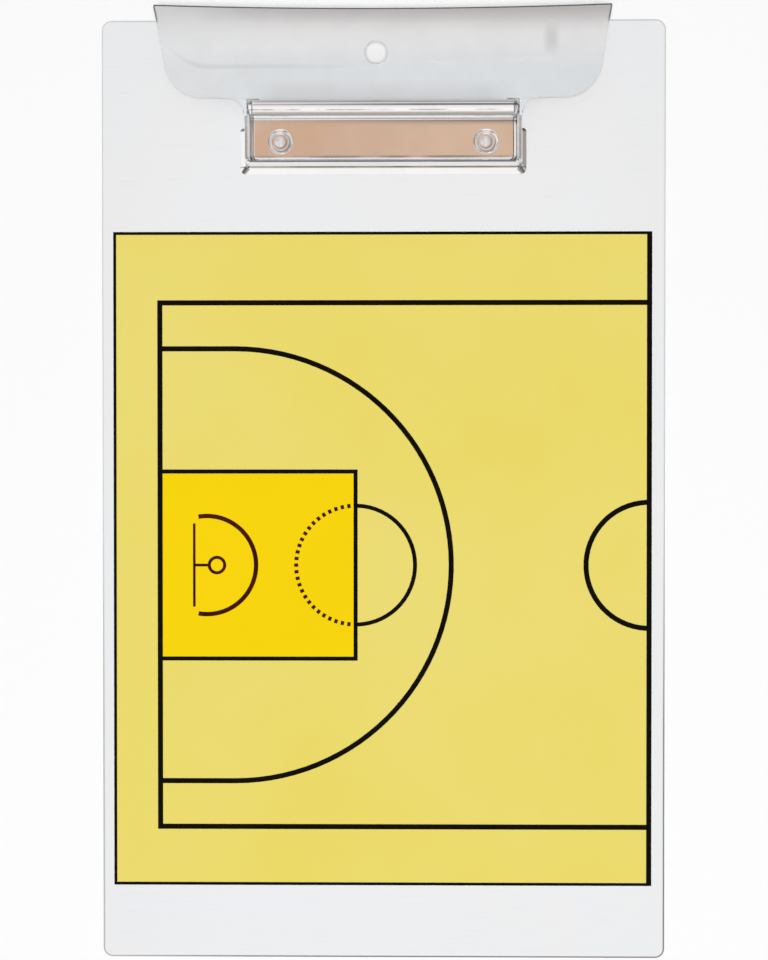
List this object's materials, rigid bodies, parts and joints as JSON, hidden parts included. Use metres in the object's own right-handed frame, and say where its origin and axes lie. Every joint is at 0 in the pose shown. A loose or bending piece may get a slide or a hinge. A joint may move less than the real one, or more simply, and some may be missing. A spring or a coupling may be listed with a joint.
{
  "type": "basketball tactics board",
  "caption": "Rigid wipe-clean clipboard printed with a basketball half court, with a sprung chrome lever clip at its top edge that grips paper and hangs from a hole in its wing.",
  "frame": {"origin": "centre of the board's back face", "axes": "+X across the board to the right, +Y along the board towards the clip, +Z out of the printed face"},
  "size_m": [0.24, 0.4023, 0.0258],
  "materials": {
    "core_plastic": "sawn white plastic sheet",
    "white_face": "smooth satin wipe-clean film",
    "field_ink": "printed under a satin film",
    "key_ink": "printed under a satin film",
    "line_ink": "printed under a satin film",
    "base_chrome": "bright plated pressed steel",
    "lever_chrome": "satin-bright plated pressed steel",
    "rivet_steel": "bright plated",
    "pin_steel": "plain drawn",
    "spring_steel": "drawn wire"
  },
  "bodies": {
    "board": {"board_core": "core_plastic", "front_face_sheet": "white_face", "back_face_sheet": "white_face", "court_field_print": "field_ink", "key_print": "key_ink", "court_line_print": "line_ink", "throw_dash_print": "line_ink", "basket_print": "line_ink", "clip_base_plate": "base_chrome", "rivets": "rivet_steel", "hinge_pin": "pin_steel", "left_spring": "spring_steel", "right_spring": "spring_steel"},
    "lever": {"clip_lever": "lever_chrome"}
  },
  "joints": [
    {"name": "lever_hinge", "type": "hinge", "parent": "board", "child": "lever", "pos_m": [0, 0.1616, 0.0072], "axis": [-1, 0, 0], "range_deg": [0, 22], "stiffness_Nm_per_rad": 0.52, "springref_deg": -33.23, "deforming": ["left_spring", "right_spring"]}
  ]
}
